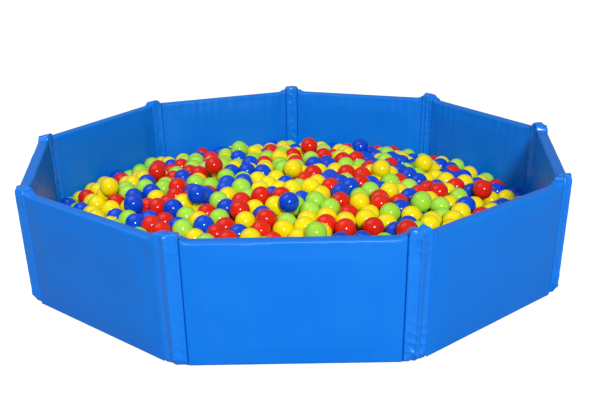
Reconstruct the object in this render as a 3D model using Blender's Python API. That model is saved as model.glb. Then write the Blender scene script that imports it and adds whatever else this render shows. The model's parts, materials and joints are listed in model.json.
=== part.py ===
import math

import bmesh
import bpy
import numpy as np
from mathutils import Matrix, Vector
from mathutils.bvhtree import BVHTree
from mathutils.geometry import delaunay_2d_cdt

# Driving dimensions, in metres
wall_count = 9
wall_length = 0.616
wall_height = 0.385
wall_thickness = 0.042
wall_edge_radius = 0.009
wall_crown = 0.0035
wall_draw_in = 0.0015
vinyl_skin = 0.0015
fit_gap = 0.0003
cut_overrun = 0.002

sleeve_facet = 0.042
sleeve_rise = 0.028
sleeve_pucker = 0.0012
sleeve_floor_gap = 0.0006
sleeve_foot_height = 0.026

pivot_offset = 0.006
closure_gap = 0.004
closure_strip_thickness = 0.0015
closure_strip_width = 0.024
closure_strip_corner = 0.003

zip_length = 0.500
zip_width = 0.016
zip_teeth_width = 0.006
zip_slider_length = 0.014
zip_slider_width = 0.011

mat_thickness = 0.030
mat_edge_radius = 0.006
mat_wall_gap = 0.003

ball_diameter = 0.075
ball_seat_gap = 0.0005
heap_wall_gap = 0.005
heap_edge_rise = 0.040
heap_rise = 0.100
top_ball_count = 18

# Shares and counts that have no length of their own
pad_length_cut_shares = (-0.3, 0, 0.3)
pad_height_cut_shares = (-0.17, 0.17)
top_draw_power = 4
end_draw_power = 9
round_profile_share = 0.5
cover_edge_steps = 2
inner_edge_steps = 1
strip_corner_steps = 3
zip_tape_share = 0.5
zip_teeth_share = 0.8
closure_strip_share = 0.86
sleeve_top_shares = ((0.14, 1.0, 1.0), (0.6, 0.97, 0.92), (0.93, 0.85, 0.78), (1.0, 0.74, 0.6))
sleeve_body_shares = (0.14, 0.34, 0.58, 0.80, 0.985)
sleeve_foot_shares = (0, 0.5, 1.0)
sleeve_swing_share = 0.8
bed_density_share = 0.9
bed_unevenness_share = 0.34
dome_ring_share = 0.72
dome_foot_share = 0.12
valley_span_share = 2.4
heap_rim_share = 0.5
ball_round_steps = 2
top_ball_spacing_share = 0.24
top_ball_reach_share = 0.78
spread_steps = 160
push_share = 0.5
bed_seed = 41
ring_points = 6
edge_samples = 60

# Worked out from the driving dimensions
corner_turn = 2 * math.pi / wall_count
half_turn = corner_turn / 2
corner_pitch = wall_length + 2 * sleeve_facet
ridge_radius = corner_pitch / (2 * math.sin(half_turn))
face_distance = ridge_radius * math.cos(half_turn)
strip_depth = sleeve_facet * math.sin(half_turn) + wall_thickness * math.cos(half_turn)
ball_radius = ball_diameter / 2
first_wall_angle = -math.pi / 2
smooth_angle = math.radians(40)
dome_smooth_angle = math.radians(75)
square_edge_angle = math.radians(60)

# The fixed wall carries two wings that fold outwards
wall_order = (3, 4, 5, 6, 7, 8, 9, 1, 2)
back_count = 4
back_wing = wall_order[back_count - 1 :: -1]
fixed_wall = wall_order[back_count]
front_wing = wall_order[back_count + 1 :]
closure_corner = wall_order[-1]

colours = {
    "wall_vinyl": (0.0, 0.13, 0.61, 1.0),
    "sleeve_vinyl": (0.01, 0.17, 0.66, 1.0),
    "mat_vinyl": (0.0, 0.11, 0.52, 1.0),
    "foam": (0.80, 0.79, 0.70, 1.0),
    "zip": (0.01, 0.03, 0.16, 1.0),
    "hook_tape": (0.01, 0.02, 0.07, 1.0),
    "loop_tape": (0.01, 0.03, 0.11, 1.0),
    "ball_yellow": (1.0, 0.72, 0.0, 1.0),
    "ball_red": (0.75, 0.02, 0.01, 1.0),
    "ball_blue": (0.0, 0.06, 0.65, 1.0),
    "ball_green": (0.30, 0.66, 0.04, 1.0),
}
roughness_shares = {"foam": 0.9, "zip": 0.5, "hook_tape": 0.8, "loop_tape": 0.9}
vinyl_roughness_share = 0.32
ball_roughness_share = 0.16
ball_colours = ("ball_yellow", "ball_red", "ball_blue", "ball_green")


def clear_scene():
    for item in list(bpy.data.objects):
        bpy.data.objects.remove(item, do_unlink=True)


def material(slot):
    found = bpy.data.materials.get(slot)
    if found:
        return found
    made = bpy.data.materials.new(slot)
    made.use_nodes = True
    shader = made.node_tree.nodes["Principled BSDF"]
    shader.inputs["Base Color"].default_value = colours[slot]
    plain = ball_roughness_share if slot in ball_colours else vinyl_roughness_share
    shader.inputs["Roughness"].default_value = roughness_shares.get(slot, plain)
    shader.inputs["Metallic"].default_value = 0.0
    made.diffuse_color = colours[slot]
    return made


def finish_mesh(shape, name, sharp_from=smooth_angle):
    bmesh.ops.recalc_face_normals(shape, faces=shape.faces)
    mesh = bpy.data.meshes.new(name)
    shape.to_mesh(mesh)
    shape.free()
    mesh.shade_smooth()
    mesh.set_sharp_from_angle(angle=sharp_from)
    return mesh


def make_object(name, mesh, slot, carrier, place):
    made = bpy.data.objects.new(name, mesh)
    bpy.context.collection.objects.link(made)
    if slot and not mesh.materials:
        mesh.materials.append(material(slot))
    made.parent = carrier
    made.matrix_basis = frames[carrier.name].inverted() @ place
    return made


# Wall frames: x runs anticlockwise along the wall, y points into the ring, z is up
def wall_frame(number):
    angle = first_wall_angle + corner_turn * (number - 1)
    foot = Vector((face_distance * math.cos(angle), face_distance * math.sin(angle), 0))
    return Matrix.Translation(foot) @ Matrix.Rotation(angle + math.pi / 2, 4, "Z")


# Corner frames: x is the tangent, y points into the ring, the origin is at the outer ridge
def corner_frame(number):
    angle = first_wall_angle + corner_turn * (number - 0.5)
    foot = Vector((ridge_radius * math.cos(angle), ridge_radius * math.sin(angle), 0))
    return Matrix.Translation(foot) @ Matrix.Rotation(angle + math.pi / 2, 4, "Z")


def hinge_point(corner, folds_out):
    depth = -pivot_offset if folds_out else strip_depth
    return corner_frame(corner) @ Vector((0, depth, 0))


frames = {}


def make_carrier(name, parent, place):
    carrier = bpy.data.objects.new(name, None)
    bpy.context.collection.objects.link(carrier)
    frames[name] = place
    if parent:
        carrier.parent = parent
        carrier.matrix_basis = frames[parent.name].inverted() @ place
    return carrier


def make_carriers():
    """One empty for each wall, nested down each wing, standing on the wall's hinge axis."""
    carriers = {fixed_wall: make_carrier("fixed_wall_frame", None, Matrix.Identity(4))}
    for wing in (front_wing, back_wing):
        before = fixed_wall
        for step, number in enumerate(wing):
            corner = before if wing is front_wing else number
            axis = Matrix.Translation(hinge_point(corner, step % 2 == 0))
            turn = wall_frame(number).to_3x3().to_4x4()
            carriers[number] = make_carrier(f"wall_{number}_hinge", carriers[before], axis @ turn)
            before = number
    return carriers


def sleeve_carrier(corner):
    """The wall that a corner sleeve is fixed to: the one nearer to the fixed wall."""
    if corner == closure_corner:
        return back_wing[-1]
    after = corner % wall_count + 1
    for wing in (front_wing, back_wing):
        chain = (fixed_wall,) + wing
        if corner in chain and after in chain:
            return chain[min(chain.index(corner), chain.index(after))]
    return fixed_wall


# Padded walls
def crown_at(share_x, share_z):
    return max(0, 1 - share_x**2) * max(0, 1 - share_z**2)


def pad_shape(length, thickness, height, radius, steps):
    """A crowned pad that stands on z = 0, centred on x, with its outer face on y = 0."""
    pad = bmesh.new()
    bmesh.ops.create_cube(pad, size=1)
    bmesh.ops.scale(pad, vec=(length, thickness, height), verts=pad.verts)
    cuts = [(0, share * length) for share in pad_length_cut_shares]
    cuts += [(2, share * height) for share in pad_height_cut_shares]
    for axis, place in cuts:
        normal = Vector((0, 0, 0))
        normal[axis] = 1
        geometry = pad.verts[:] + pad.edges[:] + pad.faces[:]
        bmesh.ops.bisect_plane(pad, geom=geometry, plane_co=normal * place, plane_no=normal)
    rim = [edge for edge in pad.edges if edge.calc_face_angle() > square_edge_angle]
    profile = round_profile_share
    bmesh.ops.bevel(pad, geom=rim, offset=radius, segments=steps, profile=profile, affect="EDGES")
    for vert in pad.verts:
        share_x = 2 * vert.co.x / length
        share_y = 2 * vert.co.y / thickness
        share_z = 2 * vert.co.z / height
        vert.co.y += wall_crown * share_y * crown_at(share_x, share_z)
        vert.co.z -= wall_draw_in * max(0, share_z) ** top_draw_power * max(0, 1 - share_x**2)
        vert.co.x -= wall_draw_in * share_x**end_draw_power * max(0, 1 - share_z**2)
    bmesh.ops.translate(pad, vec=(0, thickness / 2, height / 2), verts=pad.verts)
    bmesh.ops.triangulate(pad, faces=pad.faces, quad_method="FIXED")
    return pad


def shrunk_pad(name, inset, steps):
    pad = pad_shape(
        wall_length - 2 * inset,
        wall_thickness - 2 * inset,
        wall_height - 2 * inset,
        wall_edge_radius - inset,
        steps,
    )
    bmesh.ops.translate(pad, vec=(0, inset, inset), verts=pad.verts)
    return finish_mesh(pad, name)


def box_mesh(name, low, high):
    box = bmesh.new()
    bmesh.ops.create_cube(box, size=1)
    size = Vector(high) - Vector(low)
    bmesh.ops.scale(box, vec=size, verts=box.verts)
    bmesh.ops.translate(box, vec=(Vector(high) + Vector(low)) / 2, verts=box.verts)
    return finish_mesh(box, name)


def carved(name, solid, cutters):
    """The solid with every cutter taken out of it by Boolean modifiers."""
    body = bpy.data.objects.new(name, solid)
    bpy.context.collection.objects.link(body)
    helpers = []
    for cutter in cutters:
        helper = bpy.data.objects.new(cutter.name, cutter)
        bpy.context.collection.objects.link(helper)
        helper.hide_render = True
        helper.display_type = "WIRE"
        cut = body.modifiers.new(cutter.name, "BOOLEAN")
        cut.operation = "DIFFERENCE"
        cut.solver = "EXACT"
        cut.object = helper
        helpers.append(helper)
    bpy.context.view_layer.update()
    evaluated = body.evaluated_get(bpy.context.evaluated_depsgraph_get())
    mesh = bpy.data.meshes.new_from_object(evaluated)
    mesh.name = name
    for helper in helpers + [body]:
        bpy.data.objects.remove(helper, do_unlink=True)
    return mesh


def wall_cover_mesh():
    """The vinyl cover: a thin shell, open along the slit in its underside for the zip."""
    outer = shrunk_pad("wall_cover", 0, cover_edge_steps)
    cavity = shrunk_pad("wall_cavity", vinyl_skin, inner_edge_steps)
    side = zip_width / 2
    middle = wall_thickness / 2
    low = (-zip_length / 2, middle - side, -cut_overrun)
    high = (zip_length / 2, middle + side, vinyl_skin + cut_overrun)
    slit = box_mesh("wall_slit", low, high)
    return carved("wall_cover", outer, [cavity, slit])


def wall_foam_mesh():
    return shrunk_pad("wall_foam", vinyl_skin + fit_gap, inner_edge_steps)


# Lofted pieces: closed rings of points, one ring per section
def loft(name, rings):
    shape = bmesh.new()
    rows = [[shape.verts.new(point) for point in ring] for ring in rings]
    for lower, upper in zip(rows, rows[1:]):
        for index in range(len(lower)):
            after = (index + 1) % len(lower)
            shape.faces.new((lower[index], lower[after], upper[after], upper[index]))
    shape.faces.new(rows[0])
    shape.faces.new(rows[-1])
    return finish_mesh(shape, name)


def zip_mesh():
    """Tape with a raised row of teeth and a slider, lying face down in its slit."""
    tape = zip_width / 2 - fit_gap
    depth = vinyl_skin - fit_gap
    back = vinyl_skin
    face = back - depth * zip_tape_share
    teeth = back - depth * zip_teeth_share
    end = zip_length / 2 - fit_gap
    slider = end - 2 * zip_slider_length
    rings = []
    for place, width, low in (
        (-end, zip_teeth_width, face),
        (-end + zip_slider_length, zip_teeth_width, teeth),
        (slider, zip_teeth_width, teeth),
        (slider, zip_slider_width, back - depth),
        (slider + zip_slider_length, zip_slider_width, back - depth),
        (slider + zip_slider_length, zip_teeth_width, teeth),
        (end, zip_teeth_width, face),
    ):
        half = width / 2
        outline = ((-tape, back), (tape, back), (tape, face), (half, face))
        outline += ((half, low), (-half, low), (-half, face), (-tape, face))
        shift = fit_gap if rings and rings[-1][0][0] == place else 0
        rings.append([(place + shift, across, height) for across, height in outline])
    for ring in (rings[0], rings[-1]):
        for index in (4, 5):
            ring[index] = (ring[index][0], ring[index][1], face - fit_gap)
    return loft("zip", rings)


# Corner sleeves
def sleeve_outline(free_cut):
    """Outer ridge, two outer facets, two ends against the walls and the inner strip."""
    cos, sin = math.cos(half_turn), math.sin(half_turn)
    points = [(0, -sleeve_pucker)]
    for side, cut in ((1, fit_gap), (-1, free_cut)):
        reach = sleeve_facet - cut
        face = (side * cos, sin)
        inward = (-side * sin, cos)
        half = [(reach / 2, sleeve_pucker), (reach, sleeve_pucker / 2)]
        half += [(reach, wall_thickness - sleeve_pucker / 2)]
        row = [
            (along * face[0] + deep * inward[0], along * face[1] + deep * inward[1])
            for along, deep in half
        ]
        points.append(row)
    right, left = points[1], points[2]
    strip = (0, strip_depth - sleeve_pucker)
    return [points[0]] + right + [strip] + left[::-1]


def foot_fold(x, y, height):
    """How far the folded foot lies behind the facets: below a crease that rises to the ridge."""
    if y > strip_depth / 2:
        return 0
    away = 1 - abs(x) / (sleeve_facet * math.cos(half_turn))
    below = max(0, away * sleeve_foot_height - height)
    return sleeve_facet * math.sin(half_turn) * below / sleeve_foot_height


def sleeve_mesh(name, free_cut):
    """A vinyl sleeve with a folded foot and a hipped, gift-wrapped top."""
    outline = sleeve_outline(free_cut)
    centre = strip_depth / 2
    low = sleeve_floor_gap
    rings = []
    for share in sleeve_foot_shares:
        height = share * sleeve_foot_height
        rings.append([(x, y + foot_fold(x, y, height), low + height) for x, y in outline])
    for index, share in enumerate(sleeve_body_shares):
        pucker = sleeve_pucker * sleeve_swing_share * (1 if index % 2 else -1)
        row = []
        for place, (x, y) in enumerate(outline):
            moves = place in (0, len(outline) // 2)
            row.append((x, y + (pucker if moves else 0), share * wall_height))
        rings.append(row)
    for rise, wide, deep in sleeve_top_shares:
        height = wall_height + rise * sleeve_rise
        rings.append([(x * wide, centre + (y - centre) * deep, height) for x, y in outline])
    return loft(name, rings)


# Hook and loop strips that close the ring
def strip_mesh(name):
    strip = bmesh.new()
    bmesh.ops.create_cube(strip, size=1)
    size = (closure_strip_thickness, closure_strip_width, wall_height * closure_strip_share)
    bmesh.ops.scale(strip, vec=size, verts=strip.verts)
    corners = [
        edge
        for edge in strip.edges
        if abs(edge.verts[0].co.x - edge.verts[1].co.x) > closure_strip_thickness / 2
    ]
    bmesh.ops.bevel(
        strip,
        geom=corners,
        offset=closure_strip_corner,
        segments=strip_corner_steps,
        profile=round_profile_share,
        affect="EDGES",
    )
    return finish_mesh(strip, name)


# Floor mat: a nonagon with its corners cut along the inner strips
def crowned_face(height):
    share_z = 2 * height / wall_height - 1
    return wall_thickness + wall_crown * crown_at(0, share_z)


def ring_outline(gap, height, fixed_gap, inset=0):
    sides = []
    for number in range(1, wall_count + 1):
        angle = first_wall_angle + corner_turn * (number - 1)
        room = fixed_gap if number == fixed_wall else gap
        sides.append((angle, face_distance - crowned_face(height) - room - inset))
        strip = ridge_radius - strip_depth - gap - inset
        sides.append((angle + half_turn, strip))
    points = []
    for first, second in zip(sides, sides[1:] + sides[:1]):
        (a, p), (b, q) = first, second
        turn = math.sin(b - a)
        x = (p * math.sin(b) - q * math.sin(a)) / turn
        y = (q * math.cos(a) - p * math.cos(b)) / turn
        points.append((x, y))
    return points


def slab_mesh(name, outline, low, high, radius):
    slab = bmesh.new()
    base = slab.faces.new([slab.verts.new((x, y, low)) for x, y in outline])
    grown = bmesh.ops.extrude_face_region(slab, geom=[base])
    raised = [item for item in grown["geom"] if isinstance(item, bmesh.types.BMVert)]
    bmesh.ops.translate(slab, vec=(0, 0, high - low), verts=raised)
    rim = [edge for edge in slab.edges if abs(edge.verts[0].co.z - edge.verts[1].co.z) < radius]
    bmesh.ops.bevel(slab, geom=rim, offset=radius, segments=1, profile=round_profile_share, affect="EDGES")
    return finish_mesh(slab, name)


def mat_layer(name, inset, radius):
    outline = ring_outline(mat_wall_gap, mat_thickness - mat_edge_radius, fit_gap, inset)
    return slab_mesh(name, outline, inset, mat_thickness - inset, radius)


def mat_side_frame():
    """On the mat's side by the fixed wall, with -z pointing out of the mat."""
    room = crowned_face(mat_thickness - mat_edge_radius) + fit_gap
    place = wall_frame(fixed_wall) @ Matrix.Translation((0, room, mat_thickness / 2))
    return place @ Matrix.Rotation(-math.pi / 2, 4, "X")


def mat_cover_mesh():
    side = mat_side_frame()
    slit = box_mesh(
        "mat_slit",
        (-zip_length / 2, -zip_width / 2, -cut_overrun),
        (zip_length / 2, zip_width / 2, vinyl_skin + cut_overrun),
    )
    slit.transform(side)
    outer = mat_layer("mat_cover", 0, mat_edge_radius)
    cavity = mat_layer("mat_cavity", vinyl_skin, mat_edge_radius - vinyl_skin)
    return carved("mat_cover", outer, [cavity, slit])


# Balls: a bed of touching balls over a low mound, with loose ones in its hollows
def side_normals():
    angles = first_wall_angle + corner_turn * np.arange(wall_count)
    return np.stack([np.cos(angles), np.sin(angles)], axis=1)


def mound_height(points, room):
    share = (points**2).sum(axis=1) / room**2
    return mat_thickness + heap_edge_rise + heap_rise * np.clip(1 - share, 0, 1)


def bed_room():
    return face_distance - wall_thickness - wall_crown - heap_wall_gap


def bed_balls():
    """Ball centres scattered inside the walls, spread until they touch, and laid on the mound."""
    random = np.random.default_rng(bed_seed)
    normals = side_normals()
    room = bed_room()
    reach = room - ball_radius
    floor_area = wall_count * room**2 * math.tan(half_turn)
    count = int(bed_density_share * floor_area / (ball_diameter**2 * math.sin(math.pi / 3)))
    scatter = random.uniform(-1, 1, (4 * count, 2)) * ridge_radius
    inside = ((scatter @ normals.T) < reach).all(axis=1)
    flat = spread(scatter[inside][:count], normals, reach)
    uneven = random.uniform(0, 2 * bed_unevenness_share, len(flat)) * ball_radius
    return np.column_stack([flat, mound_height(flat, room) + ball_radius + uneven])


def spread(flat, normals, reach):
    """Pushes overlapping balls apart in plan and keeps them inside the walls."""
    for _ in range(spread_steps):
        apart = flat[:, None, :] - flat[None, :, :]
        distance = np.linalg.norm(apart, axis=2) + ball_diameter * np.eye(len(flat))
        overlap = np.clip(ball_diameter - distance, 0, None)
        push = apart * (overlap / np.maximum(distance, fit_gap))[:, :, None]
        flat = flat + push.sum(axis=1) * push_share
        for normal in normals:
            beyond = np.clip(flat @ normal - reach, 0, None)
            flat = flat - beyond[:, None] * normal
    return flat


def surface_height(points, balls):
    """How high the bed stands at each point, and which ball is nearest there."""
    away = ((points[:, None, :] - balls[None, :, :2]) ** 2).sum(axis=2)
    owner = away.argmin(axis=1)
    cap = np.sqrt(np.clip(ball_radius**2 - away.min(axis=1), 0, None))
    return balls[owner, 2] + cap, owner


def ring_spots(balls):
    turns = 2 * math.pi * np.arange(ring_points) / ring_points
    ring = ball_radius * dome_ring_share * np.stack([np.cos(turns), np.sin(turns)], axis=1)
    spots = (balls[:, None, :2] + ring[None, :, :]).reshape(-1, 2)
    _, owner = surface_height(spots, balls)
    return spots[owner == np.repeat(np.arange(len(balls)), ring_points)]


def hollow_spots(balls):
    """The middles of the triangles that neighbouring balls make."""
    corners = [Vector(ball[:2]) for ball in balls]
    result = delaunay_2d_cdt(corners, [], [], 0, fit_gap)
    spots, faces = result[0], result[2]
    hollows = []
    for face in faces:
        trio = [spots[index] for index in face]
        sides = [(trio[turn] - trio[turn - 1]).length for turn in range(3)]
        if max(sides) < valley_span_share * ball_diameter:
            hollows.append(sum(trio, Vector((0, 0))) / 3)
    return np.array([(spot.x, spot.y) for spot in hollows])


def loose_numbers(balls):
    """Which balls of the bed lie loose: well apart, and away from the walls."""
    reach = top_ball_reach_share * face_distance
    apart = top_ball_spacing_share * face_distance
    chosen = []
    for number, ball in enumerate(balls):
        spaced = all(np.linalg.norm(ball[:2] - balls[other, :2]) > apart for other in chosen)
        if np.linalg.norm(ball[:2]) < reach and spaced:
            chosen.append(number)
        if len(chosen) == top_ball_count:
            break
    return chosen


def heap_mesh(balls, hollows):
    """One skin of domes over the bed, with straight sides and a flat underside."""
    outline = ring_outline(heap_wall_gap, wall_height / 2, heap_wall_gap)
    base = mat_thickness + fit_gap
    domes = np.concatenate([balls[:, :2], ring_spots(balls)])
    top, _ = surface_height(domes, balls)
    foot, _ = surface_height(hollows, balls)
    foot = foot - dome_foot_share * ball_diameter
    flat = [Vector(spot) for spot in outline]
    flat += [Vector(spot) for spot in np.concatenate([domes, hollows])]
    heights = [base + heap_rim_share * ball_diameter] * len(outline) + list(top) + list(foot)
    result = delaunay_2d_cdt(flat, [], [list(range(len(outline)))], 1, fit_gap)
    spots, _, faces, sources = result[0], result[1], result[2], result[3]
    heap = bmesh.new()
    verts = []
    for spot, source in zip(spots, sources):
        verts.append(heap.verts.new((spot.x, spot.y, heights[source[0]])))
    for face in faces:
        heap.faces.new([verts[index] for index in face])
    rim = [edge for edge in heap.edges if edge.is_boundary]
    grown = bmesh.ops.extrude_edge_only(heap, edges=rim)["geom"]
    for item in grown:
        if isinstance(item, bmesh.types.BMVert):
            item.co.z = base
    lower = [edge for edge in heap.edges if edge.is_boundary]
    bmesh.ops.contextual_create(heap, geom=lower)
    colour_heap(heap, balls)
    mesh = finish_mesh(heap, "ball_heap", dome_smooth_angle)
    for slot in ball_colours:
        mesh.materials.append(material(slot))
    return mesh


def colour_heap(heap, balls):
    centres = np.array([face.calc_center_median().xy for face in heap.faces])
    _, owner = surface_height(centres, balls)
    for face, ball in zip(heap.faces, owner):
        face.material_index = int(ball) % len(ball_colours)


def ball_mesh(slot):
    ball = bmesh.new()
    bmesh.ops.create_icosphere(ball, subdivisions=ball_round_steps, radius=ball_radius)
    mesh = finish_mesh(ball, slot, dome_smooth_angle)
    mesh.materials.append(material(slot))
    return mesh


def edge_spots(mesh):
    spots = []
    for edge in mesh.edges:
        first, second = (mesh.vertices[index].co for index in edge.vertices)
        if min(first.z, second.z) > 0:
            continue
        for step in range(edge_samples + 1):
            spots.append(first.lerp(second, step / edge_samples))
    return spots


def seated(mesh, spot, heap):
    """Lowers a ball straight down until its facets lie a hair above the heap's."""
    start = Vector((spot[0], spot[1], wall_height + ball_diameter))
    skin = BVHTree.FromPolygons(
        [vert.co for vert in heap.vertices], [face.vertices for face in heap.polygons]
    )
    ball = BVHTree.FromPolygons(
        [start + vert.co for vert in mesh.vertices], [face.vertices for face in mesh.polygons]
    )
    down, up = Vector((0, 0, -1)), Vector((0, 0, 1))
    drops = []
    for spot in edge_spots(mesh):
        hit = skin.ray_cast(start + spot, down)
        if hit[0]:
            drops.append(hit[3])
    for vert in heap.vertices:
        if (vert.co.xy - start.xy).length < ball_radius:
            hit = ball.ray_cast(vert.co, up)
            if hit[0]:
                drops.append(hit[3])
    return start - Vector((0, 0, min(drops) - ball_seat_gap))


# Assembly
def build_walls(carriers):
    cover, foam, slide = wall_cover_mesh(), wall_foam_mesh(), zip_mesh()
    for number in range(1, wall_count + 1):
        frame = wall_frame(number)
        carrier = carriers[number]
        make_object(f"wall_cover_{number}", cover, "wall_vinyl", carrier, frame)
        make_object(f"wall_foam_{number}", foam, "foam", carrier, frame)
        under = frame @ Matrix.Translation((0, wall_thickness / 2, 0))
        make_object(f"wall_zip_{number}", slide, "zip", carrier, under)
    return slide


def build_sleeves(carriers):
    plain = sleeve_mesh("corner_sleeve", fit_gap)
    closing = sleeve_mesh("closing_sleeve", closure_gap)
    for corner in range(1, wall_count + 1):
        mesh = closing if corner == closure_corner else plain
        carrier = carriers[sleeve_carrier(corner)]
        name = f"corner_sleeve_{corner}"
        make_object(name, mesh, "sleeve_vinyl", carrier, corner_frame(corner))


def build_closure(carriers):
    """The loop strip lies on the end of wall 2, and the hook strip on the closing sleeve."""
    frame = wall_frame(front_wing[-1])
    middle = Vector((0, wall_thickness / 2, wall_height / 2))
    end = wall_length / 2
    half = closure_strip_thickness / 2
    loop = end + fit_gap + half
    hook = end + closure_gap - fit_gap - half
    for name, slot, place, number in (
        ("closure_loop_strip", "loop_tape", loop, front_wing[-1]),
        ("closure_hook_strip", "hook_tape", hook, back_wing[-1]),
    ):
        where = frame @ Matrix.Translation(middle + Vector((place, 0, 0)))
        make_object(name, strip_mesh(name), slot, carriers[number], where)


def build_floor(carrier, slide):
    inset = vinyl_skin + fit_gap
    still = Matrix.Identity(4)
    foam = mat_layer("mat_foam", inset, mat_edge_radius - inset)
    make_object("mat_cover", mat_cover_mesh(), "mat_vinyl", carrier, still)
    make_object("mat_foam", foam, "foam", carrier, still)
    make_object("mat_zip", slide, "zip", carrier, mat_side_frame())


def build_balls(carrier):
    balls = bed_balls()
    loose = loose_numbers(balls)
    spots = balls[loose, :2]
    balls = np.delete(balls, loose, axis=0)
    heap = heap_mesh(balls, hollow_spots(balls))
    make_object("ball_heap", heap, None, carrier, Matrix.Identity(4))
    meshes = {slot: ball_mesh(slot) for slot in ball_colours}
    counts = dict.fromkeys(ball_colours, 0)
    for index, spot in enumerate(spots):
        slot = ball_colours[index % len(ball_colours)]
        counts[slot] += 1
        place = Matrix.Translation(seated(meshes[slot], spot, heap))
        make_object(f"{slot}_{counts[slot]}", meshes[slot], slot, carrier, place)


def main():
    clear_scene()
    carriers = make_carriers()
    slide = build_walls(carriers)
    build_sleeves(carriers)
    build_closure(carriers)
    build_floor(carriers[fixed_wall], slide)
    build_balls(carriers[fixed_wall])


main()
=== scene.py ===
import json
import math

import bmesh
import bpy
import numpy as np
from mathutils import Matrix, Vector

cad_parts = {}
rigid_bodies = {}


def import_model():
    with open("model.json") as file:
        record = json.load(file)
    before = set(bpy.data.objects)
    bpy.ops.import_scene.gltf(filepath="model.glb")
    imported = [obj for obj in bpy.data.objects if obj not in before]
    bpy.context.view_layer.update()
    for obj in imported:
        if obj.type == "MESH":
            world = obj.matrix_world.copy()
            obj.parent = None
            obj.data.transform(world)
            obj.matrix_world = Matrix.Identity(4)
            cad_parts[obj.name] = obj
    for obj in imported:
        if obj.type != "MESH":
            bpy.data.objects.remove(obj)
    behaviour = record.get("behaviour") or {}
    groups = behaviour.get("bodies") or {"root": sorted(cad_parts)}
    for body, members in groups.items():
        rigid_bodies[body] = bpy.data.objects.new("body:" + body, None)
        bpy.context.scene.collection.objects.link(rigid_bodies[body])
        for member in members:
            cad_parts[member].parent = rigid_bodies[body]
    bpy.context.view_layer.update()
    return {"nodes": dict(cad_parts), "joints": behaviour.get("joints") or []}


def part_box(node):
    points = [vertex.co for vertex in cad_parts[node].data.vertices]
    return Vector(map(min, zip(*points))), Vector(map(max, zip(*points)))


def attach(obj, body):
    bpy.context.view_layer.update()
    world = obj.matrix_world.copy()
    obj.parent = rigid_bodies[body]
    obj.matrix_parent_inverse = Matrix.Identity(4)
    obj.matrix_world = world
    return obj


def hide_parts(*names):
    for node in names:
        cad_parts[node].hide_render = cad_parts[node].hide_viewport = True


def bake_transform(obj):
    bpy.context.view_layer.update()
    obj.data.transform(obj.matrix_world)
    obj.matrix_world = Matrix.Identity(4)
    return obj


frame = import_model()
scene = bpy.context.scene
print("frame loaded:", len(frame["nodes"]), "nodes")


# one output of a material, so that sums on it read as plain maths
class Wire:
    def __init__(self, skin, output):
        self.skin, self.output = skin, output

    def maths(self, operation, *others):
        return self.skin.add("Math", {"operation": operation}, dict(enumerate((self, *others))))

    def __add__(self, other):
        return self.maths("ADD", other)

    def __sub__(self, other):
        return self.maths("SUBTRACT", other)

    def __rsub__(self, other):
        return self.skin.add("Math", {"operation": "SUBTRACT"}, {0: other, 1: self})

    def __mul__(self, other):
        return self.maths("MULTIPLY", other)

    def clamped(self):
        return self.skin.add("Clamp", {}, {"Value": self})

    __radd__ = __add__
    __rmul__ = __mul__


class Nodes:
    def __init__(self, tree):
        self.tree = tree

    def add(self, kind, settings, values, output=0):
        node = self.tree.nodes.new("ShaderNode" + kind)
        for key, value in settings.items():
            setattr(node, key, value)
        for key, value in values.items():
            self.plug(node.inputs[key], value)
        return Wire(self, node.outputs[output])

    def plug(self, socket, value):
        if isinstance(value, Wire):
            self.tree.links.new(value.output, socket)
        else:
            socket.default_value = value


class Skin(Nodes):
    def __init__(self, name):
        self.material = bpy.data.materials.new(name)
        self.material.use_nodes = True
        super().__init__(self.material.node_tree)
        self.shader = self.tree.nodes["Principled BSDF"]

    def places(self):
        return self.add("TexCoord", {}, {}, "Object")

    def stretched(self, scale):
        return self.add("Mapping", {"vector_type": "POINT"}, {"Vector": self.places(), "Scale": scale})

    def noise(self, scale, detail=2.0, vector=None):
        values = {"Vector": vector or self.places(), "Scale": scale, "Detail": detail}
        return self.add("TexNoise", {}, values, "Fac")

    def cells(self, scale, feature="F1"):
        return self.add("TexVoronoi", {"feature": feature}, {"Scale": scale}, "Distance")

    def mixed(self, amount, first, second):  # 0, 6, 7 and 2 are the Mix node's colour sockets
        return self.add("Mix", {"data_type": "RGBA"}, {0: amount, 6: first, 7: second}, 2)

    def set(self, **sockets):
        for key, value in sockets.items():
            self.plug(self.shader.inputs[key.replace("_", " ")], value)

    def bump(self, height, distance, strength=1.0):
        values = {"Height": height, "Distance": distance, "Strength": strength}
        self.set(Normal=self.add("Bump", {}, values, "Normal"))


# vinyl: coloured sheet with a fine grain, faint dust and a little wear in its gloss
vinyls = {
    "wallVinyl": dict(colour=(0.0, 0.190, 0.79, 1), pale=(0.010, 0.225, 0.84, 1), rough=0.38, shine=0.26),
    "sleeveVinyl": dict(colour=(0.0, 0.205, 0.84, 1), pale=(0.012, 0.250, 0.89, 1), rough=0.25, shine=0.46),
    "matVinyl": dict(colour=(0.0, 0.160, 0.69, 1), pale=(0.006, 0.190, 0.74, 1), rough=0.42, shine=0.34),
}
vinylGrain = dict(
    ior=1.5, grainPerMetre=620, cloudPerMetre=5.5, smearPerMetre=38, smearStretch=(1, 1, 0.3),
    cloudDetail=3.0, smearDetail=4.0, waveDetail=2.0,
    dustFrom=0.42, dustCloud=1.6, dustSmear=0.5, dustMost=0.55, wearCloud=0.10, wearSmear=0.12,
    grainHeight=0.00005, grainWave=0.8, grainStrength=0.6,
)
middling = 0.5  # the mean of a noise, taken off so that it goes both ways


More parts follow.
